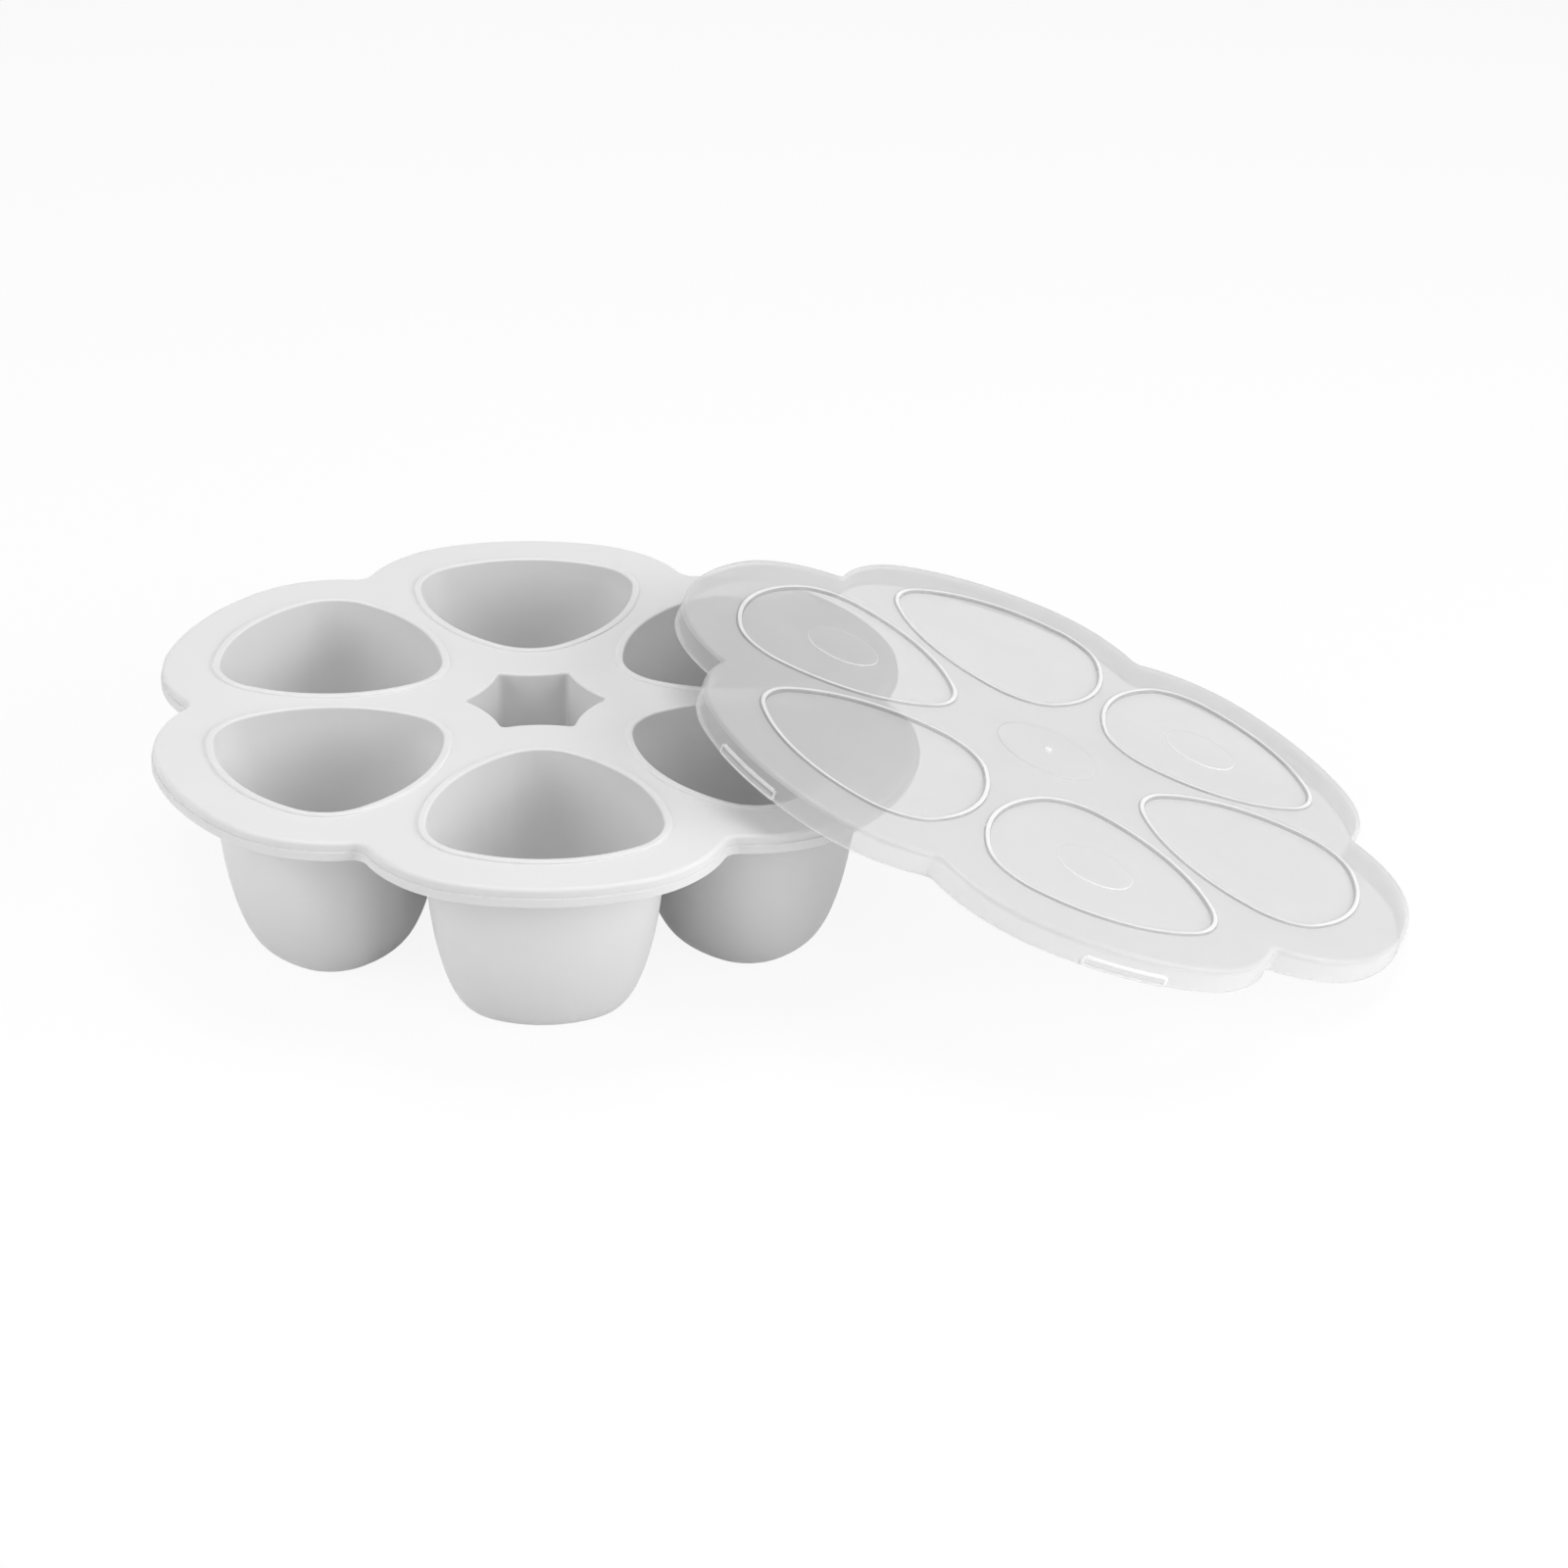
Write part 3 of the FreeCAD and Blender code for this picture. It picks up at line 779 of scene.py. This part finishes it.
def show(mesh: bpy.types.Mesh, name: str, node: str, body: str) -> None:
    """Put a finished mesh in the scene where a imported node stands, box on box, and in its place.

    Args:
        mesh: the mesh, turned as the node is.
        name: name of its object.
        node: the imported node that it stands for.
        body: the body that it moves with.
    """
    low, high = (Vector(end(vertex.co[axis] for vertex in mesh.vertices) for axis in range(3))
                 for end in (min, max))
    node_low, node_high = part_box(node)
    mesh.transform(Matrix.Translation((node_low + node_high - low - high) / 2))
    piece = bpy.data.objects.new(name, mesh)
    mesh.name = name
    bpy.context.scene.collection.objects.link(piece)
    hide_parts(node)
    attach(piece, body)
    LOG.info("%s: %d faces, on body %s", name, len(mesh.polygons), body)


@dataclass(frozen=True)
class SiliconeTray:
    """The tray: a thick-rimmed flower-shaped deck, six cups with raised lips and a star-shaped pocket.

    A cup leans inwards from its top, which flares past the cell's outline, to its heel. The heel is the
    elliptic rounding round its foot.
    """

    cell: CellOutline = CellOutline()
    lobe: LobeOutline = LobeOutline()
    star: StarOutline = StarOutline()
    finish: SatinSilicone = SatinSilicone()
    height: float = 58.5
    deck: float = 3.0
    rim_height: float = 5.7
    rim_width: float = 5.0
    rim_round: float = 1.1
    rim_inner_round: float = 0.4
    rim_foot_round: float = 0.6
    ledge_drop: float = 2.8
    ledge_width: float = 0.5
    ledge_soft: float = 0.18
    lip_height: float = 0.7
    lip_width: float = 2.4
    lip_edge: RaisedStep = RaisedStep(foot=0.12, brow=0.55, strip=0.45, foot_steps=3, brow_steps=6)
    lip_inner_round: float = 0.7
    wall: float = 1.8
    floor: float = 2.0
    flare: float = 2.0
    lean: float = 5.6
    heel_height: float = 34.0
    heel_width: float = 8.0
    heel_steps: int = 22
    wall_steps: int = 9
    roundness: float = 0.26
    star_depth: float = 24.0
    star_wall: float = 2.0
    star_round: float = 0.7
    inner_corner: float = 0.6
    under_corner: float = 0.8

    @property
    def underside(self) -> float:
        """Height of the deck's underside."""
        return self.height - self.deck

    @property
    def heel_depth(self) -> float:
        """Depth at which a cup's heel starts."""
        return self.height - self.heel_height

    def section(self, depth: float, grow: float, lift: float) -> Loop:
        """One loop of a cup's surface.

        Args:
            depth: depth of the section below the deck.
            grow: how far the surface is moved outwards.
            lift: how far it is moved up.

        Returns:
            The loop's points.
        """
        sine = min(1.0, max(0.0, (depth - self.heel_depth) / self.heel_height))
        heel = self.heel_width * (1 - math.sqrt(1 - sine * sine))
        share = depth / self.height
        scale = 1 - (self.lean * share + heel - self.flare) / self.cell.mean
        return self.cell.loop(self.height - depth + lift, grow, scale, self.roundness * share)

    def side(self, first: float, radius: float, strip: float, steps: int, grow: float = 0.0,
             lift: float = 0.0) -> list[Loop]:
        """Loops of a cup's inside or outside, from a flat strip through a rounding down to the floor.

        Args:
            first: depth at which the rounding ends and the wall starts.
            radius: radius of the rounding.
            strip: width of the flat strip.
            steps: number of steps in the rounding.
            grow: how far the surface is moved outwards.
            lift: how far it is moved up.

        Returns:
            The loops.
        """
        loops = [self.section(first, radius + strip + grow, lift + radius)]
        for turn in (UP * step / steps for step in range(steps, -1, -1)):
            beyond = radius * (1 - math.cos(turn))
            loops.append(self.section(first, beyond + grow, lift + radius * math.sin(turn)))
        wall = [first + (self.heel_depth - first) * step / self.wall_steps
                for step in range(1, self.wall_steps + 1)]
        heel = [self.heel_depth + self.heel_height * math.sin(UP * step / self.heel_steps)
                for step in range(1, self.heel_steps + 1)]
        return loops + [self.section(depth, grow, lift) for depth in wall + heel]

    def rim(self) -> list[Loop]:
        """Loops of the deck's rim.

        Returns:
            The loops from the deck's underside round the rim to its top.
        """
        inner, outer = -self.rim_width, self.ledge_width
        foot, ledge = self.height - self.rim_height, self.height - self.ledge_drop
        corner, heel, toe = self.inner_corner, self.rim_inner_round, self.rim_foot_round
        soft, top = self.ledge_soft, self.rim_round
        profile = [(inner - corner - STRIP, self.underside)]
        profile += quarter((inner - corner, self.underside - corner), corner, 90, 0, steps=4)
        profile += quarter((inner + heel, foot + heel), heel, 180, 270, steps=4)
        profile += quarter((outer - toe, foot + toe), toe, 270, 360)
        profile += quarter((outer - soft, ledge - soft), soft, 0, 90, steps=4)
        profile += quarter((soft, ledge + soft), soft, 270, 180, steps=4)
        profile += quarter((-top, self.height - top), top, 0, 90, steps=8)
        profile.append((-top - STRIP, self.height))
        return sweep(self.lobe, supported(profile))

    def mouth(self) -> list[Loop]:
        """Loops of a cell's lip and inside.

        Returns:
            The loops from the deck's top over the lip to the cell's floor.
        """
        top, inner = self.height + self.lip_height, self.lip_inner_round
        profile = self.lip_edge.profile(self.lip_width, self.height, top)
        profile.append((self.lip_width - self.lip_edge.brow - FINE_STRIP, top))
        first = self.height + self.floor - (top - inner)
        inside = self.side(first, inner, FINE_STRIP, steps=8, grow=-self.wall, lift=self.floor)
        return sweep(self.cell, profile) + inside

    def pit(self, top: float, floor: float, out: float, brow: float, corner: float,
            steps: int) -> list[Loop]:
        """Loops of the inside or the outside of the star pocket.

        Args:
            top: height of the side of the deck that it leaves.
            floor: height of its floor.
            out: how far it lies outside the pocket's outline.
            brow: radius of the rounding at its top.
            corner: radius of the rounding at its floor.
            steps: number of steps in the rounding at its top.

        Returns:
            The loops, downwards.
        """
        profile = [(out + brow + STRIP, top),
                   *quarter((out + brow, top - brow), brow, 90, 180, steps),
                   *quarter((out - corner, floor + corner), corner, 0, -90, steps=4)]
        return sweep(self.star, supported(profile, STRIP))

    def build(self) -> None:
        """Build the tray and put it in the scene."""
        sector = Sector("tray_sector")
        under, deck = sector.skin(self.rim(), closed=False)
        floor, corner = self.height - self.star_depth, self.under_corner
        pit = self.pit(self.height, floor, 0.0, self.star_round, self.inner_corner, steps=6)
        pocket, _ = sector.skin(pit, closed=False, middle=Vector((0.0, 0.0, floor)))
        mouth, _ = sector.skin(self.mouth(), closed=True, middle=self.cell.middle(self.floor))
        sector.flat(deck, pocket, mouth)
        floor -= self.star_wall
        pit = self.pit(self.underside, floor, self.star_wall, corner, corner, steps=4)
        well, _ = sector.skin(pit, closed=False, middle=Vector((0.0, 0.0, floor)))
        side = self.side(self.deck + corner, corner, STRIP, steps=5)
        cup, _ = sector.skin(side, closed=True, middle=self.cell.middle(0.0))
        sector.flat(under, well, cup)
        wheel = Wheel("tray_wheel", [self.finish.material("satin_moulded_silicone")])
        show(wheel.turn([sector], [0] * SECTORS), "moulded_tray", "silicone_tray", "tray")


class LobeKind(IntEnum):
    """What a lobe of the lid carries besides its panel."""

    PLAIN = 0
    DISC = 1
    LUG = 2
    DISC_AND_LUG = 3


@dataclass(frozen=True)
class Lug:
    """A snap lug on the skirt: a long low frame outside and a catch inside.

    The lug stands out from the skirt, and all but its frame is sunk again by the recess. Each change
    takes the width of the slope. Only the top of the frame, past its rise, has the edge finish, whose
    white colour is a painted highlight.
    """

    length: float = 26.5
    height: float = 3.8
    stand: float = 0.7
    rise: float = 0.25
    frame: float = 1.05
    recess: float = 0.4
    corner: float = 1.4
    slope: float = 0.45
    catch_stand: float = 0.8
    catch_height: float = 0.5
    catch_slope: float = 0.3

    @staticmethod
    def ramp(value: float) -> float:
        """A smooth step from 0 to 1."""
        value = min(1.0, max(0.0, value))
        return value * value * (3 - 2 * value)

    def within(self, across: float, height: float) -> float:
        """How far inside the lug's outline a place on the skirt lies.

        Args:
            across: distance of the place from the lug's middle, along the skirt.
            height: its height.

        Returns:
            The distance, below 0 outside the lug.
        """
        half = self.height / 2
        beyond_x = abs(across) - (self.length / 2 - self.corner)
        beyond_z = abs(height - half) - (half - self.corner)
        beyond = math.hypot(max(beyond_x, 0), max(beyond_z, 0))
        return self.corner - beyond - min(max(beyond_x, beyond_z), 0)

    def outside(self, across: float, height: float) -> float:
        """How far the skirt's outer face stands out at a place on it."""
        within = self.within(across, height)
        sunk = self.recess * self.ramp((within - self.frame) / self.slope)
        return self.stand * self.ramp(within / self.slope) - sunk

    def inside(self, across: float, height: float) -> float:
        """How far the catch stands into the lid at a place on the skirt's inner face."""
        along = self.ramp((self.length / 2 - abs(across)) / self.slope)
        above = (height - self.catch_height + self.catch_slope / 2) / self.catch_slope
        return self.catch_stand * along * (1 - self.ramp(above))


@dataclass(frozen=True)
class SnapLid:
    """The lid: a thin plate with a skirt, a ribbed panel over each cell, discs, a boss and snap lugs.

    The inside and the outside are the offsets of the skirt's faces from the tray's outline. The front
    is cut finely at the lugs' ends, and the skirt's rings and the catch's rows draw the lugs' heights.
    """

    cell: CellOutline = CellOutline()
    lobe: LobeOutline = LobeOutline(front_cuts=((11.5, 14), (13.8, 9), (23.3, 7)))
    boss_line: RoundOutline = RoundOutline()
    disc_line: RoundOutline = RoundOutline((0.0, CellOutline.ring_radius), 0.0, math.tau, 72, closed=True)
    lug: Lug = Lug()
    lobes: tuple[LobeKind, ...] = (LobeKind.LUG, LobeKind.DISC, LobeKind.LUG,
                                   LobeKind.DISC_AND_LUG, LobeKind.PLAIN, LobeKind.DISC_AND_LUG)
    finishes: tuple[TranslucentPolypropylene, ...] = (
        TranslucentPolypropylene(zone=LidZone.PLATE, alpha=0.48),
        TranslucentPolypropylene(zone=LidZone.PANEL, alpha=0.45),
        TranslucentPolypropylene(zone=LidZone.SKIRT, alpha=0.28, colour="#DEDEDE", second="#D8D8D8"),
        # The edge finish is near white: more plastic is seen there, and a highlight is painted into the
        # colour.
        TranslucentPolypropylene(zone=LidZone.EDGE, alpha=0.62, colour="#F4F4F4", second="#F0F0F0",
                                 roughness=(0.16, 0.22)),
        # The wall finish is dark grey: shade painted along the steep walls of the ribs.
        TranslucentPolypropylene(zone=LidZone.WALL, alpha=0.6, colour="#A6A6A6", second="#A0A0A0",
                                 roughness=(0.2, 0.3)))
    height: float = 7.6
    plate: float = 1.3
    inside: float = 1.0
    outside: float = 2.3
    top_round: float = 1.6
    foot_round: float = 0.3
    foot_line: float = 0.35
    corner: float = 0.4
    ring_step: float = 0.24
    rings: int = 16
    catch_rows: tuple[float, ...] = (1.6, 0.9, 0.65, 0.5, 0.4)
    rib_offset: float = 0.9
    rib_width: float = 1.8
    rib_height: float = 0.7
    rib_edge: RaisedStep = RaisedStep(foot=0.08, brow=0.6, strip=0.4, brow_steps=6)
    rib_crest: float = 0.1
    panel_sink: float = 0.4
    panel_fillet: float = 0.15
    disc_radius: float = 11.5
    disc_height: float = 0.3
    disc_edge: RaisedStep = RaisedStep(foot=0.06, brow=0.15, strip=0.3)
    boss_radius: float = 16.0
    boss_height: float = 0.4
    boss_edge: RaisedStep = RaisedStep(foot=0.08, brow=0.2, strip=0.4)
    gate_radius: float = 1.3
    gate_height: float = 0.6
    gate_edge: RaisedStep = RaisedStep(foot=0.1, brow=0.2, strip=0.35)
    lean_angle: float = 19.4
    twist: float = 2.8

    def skirt_profile(self) -> Profile:
        """The skirt's profile from the plate's underside round the foot to the plate's top.

        Returns:
            Pairs of offset and height.
        """
        under, foot, brow = self.height - self.plate, self.foot_round, self.top_round
        profile = [(self.inside - self.corner - STRIP, under)]
        profile += quarter((self.inside - self.corner, under - self.corner), self.corner, 90, 0, steps=4)
        profile += [(self.inside, height) for height in self.catch_rows]
        profile += quarter((self.inside + foot, foot), foot, 180, 270, steps=4)
        profile += quarter((self.outside - foot, foot), foot, 270, 360, steps=4)
        profile += [(self.outside, foot + self.ring_step * ring) for ring in range(1, self.rings + 1)]
        profile += quarter((self.outside - brow, self.height - brow), brow, 0, 90, steps=9)
        profile.append((self.outside - brow - STRIP, self.height))
        return supported(profile, STRIP)

    def skirt(self, sector: Sector, lugged: bool) -> tuple[list[int], list[int]]:
        """Build the skirt.

        Args:
            sector: the sector that gets it.
            lugged: whether a snap lug stands on it.

        Returns:
            The loops that start the plate's underside and its top.
        """
        profile = self.skirt_profile()
        loops = sweep(self.lobe, profile)
        middle = (self.inside + self.outside) / 2
        for (offset, height), loop in zip(profile, loops):
            for spot in loop:
                if lugged and abs(spot.x) < self.lug.length / 2 and spot.y > 0:
                    away = (spot.to_2d() - self.lobe.front_centre).normalized().to_3d()
                    if offset > middle:
                        spot += away * self.lug.outside(spot.x, height)
                    else:
                        spot -= away * self.lug.inside(spot.x, height)
        first, across = len(sector.faces), len(loops[0]) - 1
        ends = sector.skin(loops, closed=False)
        for number in range(first, len(sector.faces)):
            row, place = divmod(number - first, across)
            offset, top = profile[row][0], max(profile[row][1], profile[row + 1][1])
            spot = loops[row][place].lerp(loops[row + 1][place + 1], 0.5)
            outer = lugged and offset > middle and spot.y > 0
            framed = outer and self.lug.rise < self.lug.within(spot.x, spot.z) < self.lug.frame
            # The skirt's foot line and the top of each lug's frame get the edge finish, whose near-white
            # colour is a painted highlight.
            if framed or top <= self.foot_line:
                sector.zones[number] = LidZone.EDGE
            elif top <= self.height - self.top_round:
                sector.zones[number] = LidZone.SKIRT
        return ends

    def panel(self, sector: Sector, disced: bool) -> list[int]:
        """Build a panel with its rib.

        Args:
            sector: the sector that gets it.
            disced: whether a flat disc lies in its middle.

        Returns:
            The loop where the rib leaves the plate's top.
        """
        crest, low = self.height + self.rib_height, self.height - self.panel_sink
        inner, bead, fillet = self.rib_offset, self.rib_edge.brow, self.panel_fillet
        profile = self.rib_edge.profile(inner + self.rib_width, self.height, crest)
        profile += quarter((inner + bead, crest - bead), bead, 90, 180)
        profile += quarter((inner - fillet, low + fillet), fillet, 0, -90, steps=3)
        profile.append((inner - fillet - STRIP, low))
        # Rib crests get the edge finish, whose whiter colour is a painted highlight; the rib's steep
        # walls get the wall finish, whose dark colour is painted shade.
        zones = [LidZone.EDGE if min(base, rise) > crest - self.rib_crest
                 else LidZone.PLATE if base == rise else LidZone.WALL
                 for (_, base), (_, rise) in zip(profile, profile[1:])]
        edge, floor = sector.skin(sweep(self.cell, profile), True, zones)
        sector.zone = LidZone.PANEL
        sector.fill(floor, self.disc(sector, low) if disced else ())
        return edge

    def disc(self, sector: Sector, low: float) -> list[int]:
        """Build the flat disc on a panel.

        Args:
            sector: the sector that gets it.
            low: height of the panel.

        Returns:
            The loop where the disc leaves the panel.
        """
        top = low + self.disc_height
        profile = self.disc_edge.profile(self.disc_radius, low, top)
        profile.append((self.disc_radius - self.disc_edge.brow - FINE_STRIP, top))
        # The disc's outline gets the edge finish, whose whiter colour is a painted highlight.
        zones = [LidZone.PANEL, *[LidZone.EDGE] * (len(profile) - 3), LidZone.PLATE]
        edge, _ = sector.skin(sweep(self.disc_line, profile), True, zones, self.cell.middle(top))
        sector.zone = LidZone.PANEL
        return edge

    def boss(self, sector: Sector) -> list[int]:
        """Build the boss and the gate's stub.

        Args:
            sector: the sector that gets them.

        Returns:
            The loop where the boss leaves the plate.
        """
        top, stub = self.height + self.boss_height, self.gate_radius + self.gate_edge.brow
        tip = top + self.gate_height
        profile = self.boss_edge.profile(self.boss_radius, self.height, top)
        profile.append((self.boss_radius - self.boss_edge.brow - STRIP, top))
        profile += self.gate_edge.profile(self.gate_radius, top, tip)
        # The gate's stub gets the edge finish, whose whiter colour is a painted highlight.
        zones = [LidZone.EDGE if radius < stub else LidZone.PLATE for radius, _ in profile[:-1]]
        edge, end = sector.skin(sweep(self.boss_line, profile), False, zones)
        sector.cap(end, Vector((0.0, 0.0, tip)), closed=False, shares=(0.6,))
        return edge

    def sector(self, kind: LobeKind) -> Sector:
        """Build one kind of sector.

        Args:
            kind: what its lobe carries.

        Returns:
            The sector.
        """
        sector = Sector(f"lid_sector_{kind.value}")
        sector.zone = LidZone.PLATE
        under, top = self.skirt(sector, kind in (LobeKind.LUG, LobeKind.DISC_AND_LUG))
        panel = self.panel(sector, kind in (LobeKind.DISC, LobeKind.DISC_AND_LUG))
        boss = self.boss(sector)
        sector.zone = LidZone.PLATE
        sector.flat(top, boss, panel)
        window = sector.add(self.cell.loop(self.height - self.plate, self.rib_offset))
        sector.flat(under, None, window)
        sector.zone = LidZone.PANEL
        sector.fill(window)
        return sector

    def build(self) -> None:
        """Build the lid and put it in the scene, leaning on the tray's rim."""
        names = [f"translucent_polypropylene_{finish.zone.name.lower()}" for finish in self.finishes]
        wheel = Wheel("lid_wheel", [finish.material(name) for finish, name in zip(self.finishes, names)])
        mesh = wheel.turn([self.sector(kind) for kind in LobeKind], self.lobes)
        tilt = Matrix.Rotation(math.radians(self.lean_angle), 4, "Y")
        mesh.transform(tilt @ Matrix.Rotation(math.radians(self.twist), 4, "Z"))
        show(mesh, "moulded_lid", "snap_lid", "lid")


@dataclass(frozen=True)
class Lamp:
    """A soft square lamp that faces the object. Its place and side are in metres."""

    name: str
    power: float
    place: tuple[float, float, float]
    side: float

    def hang(self) -> None:
        """Hang the lamp in the scene."""
        light = bpy.data.lights.new(self.name, "AREA")
        light.shape, light.size, light.energy = "SQUARE", self.side, self.power
        lamp = bpy.data.objects.new(self.name, light)
        lamp.location = self.place
        lamp.rotation_euler = (-Vector(self.place)).to_track_quat("-Z", "Y").to_euler()
        bpy.context.scene.collection.objects.link(lamp)


@dataclass(frozen=True)
class Studio:
    """The floor, the soft light and the camera.

    Places and the floor's side are in metres. The camera's heading runs clockwise from +Y, its elevation
    is how far it looks down, and both are in degrees, as its roll is.
    """

    floor_finish: PaleFloor = PaleFloor()
    floor_side: float = 9.0
    eye: tuple[float, float, float] = (-0.10913, -1.01666, 0.56186)
    heading: float = 6.122
    elevation: float = 27.36
    roll: float = 1.916
    focal_mm: float = 87.97
    sensor_mm: float = 36.0
    nearest: float = 0.05
    farthest: float = 20.0
    sky: float = 0.05
    lamps: tuple[Lamp, ...] = (Lamp("overhead", 13.7, (0.0, 0.3, 1.5), 1.0),
                               Lamp("front", 2.9, (-0.1, -1.3, 1.1), 0.9),
                               Lamp("left", 6.9, (-1.1, -0.35, 0.55), 0.8),
                               Lamp("right", 9.3, (1.1, -0.35, 0.55), 0.8),
                               Lamp("front_right", 7.3, (1.0, -1.1, 0.6), 0.7))

    def floor(self) -> None:
        """Lay the floor."""
        half = self.floor_side / 2
        corners = [(-half, -half, 0), (half, -half, 0), (half, half, 0), (-half, half, 0)]
        mesh = bpy.data.meshes.new("floor")
        mesh.from_pydata(corners, [], [(0, 1, 2, 3)])
        mesh.materials.append(self.floor_finish.material())
        floor = bpy.data.objects.new("floor", mesh)
        bpy.context.scene.collection.objects.link(floor)

    def world(self) -> None:
        """Surround the scene with soft white light, seen as plain white."""
        world = bpy.data.worlds.new("soft_white")
        tree = new_tree(world)
        strength = add_node(tree, "ShaderNodeMapRange", {},
                            {"Value": backdrop_rays(tree), "To Min": self.sky, "To Max": 1.0})
        light = add_node(tree, "ShaderNodeBackground", {},
                         {"Color": linear("#FFFFFF"), "Strength": strength.outputs[0]})
        add_node(tree, "ShaderNodeOutputWorld", {}, {"Surface": light.outputs[0]})
        bpy.context.scene.world = world

    def camera(self) -> None:
        """Set up the camera."""
        turn, drop, roll = (math.radians(value) for value in (self.heading, self.elevation, self.roll))
        aim = Matrix.Rotation(-turn, 4, "Z") @ Matrix.Rotation(UP - drop, 4, "X")
        data = bpy.data.cameras.new("camera")
        data.lens, data.sensor_width = self.focal_mm, self.sensor_mm
        data.clip_start, data.clip_end = self.nearest, self.farthest
        camera = bpy.data.objects.new("camera", data)
        camera.matrix_world = Matrix.Translation(self.eye) @ aim @ Matrix.Rotation(roll, 4, "Z")
        bpy.context.scene.collection.objects.link(camera)
        bpy.context.scene.camera = camera

    def build(self) -> None:
        """Set the stage."""
        self.floor()
        self.world()
        for lamp in self.lamps:
            lamp.hang()
        self.camera()
        bpy.context.scene.view_settings.view_transform = "Standard"
        LOG.info("studio set")


def main() -> None:
    """Build the studio and both mouldings."""
    logging.basicConfig(level=logging.INFO, format="%(name)s: %(message)s")
    Studio().build()
    SiliconeTray().build()
    SnapLid().build()


if __name__ == "__main__":
    main()
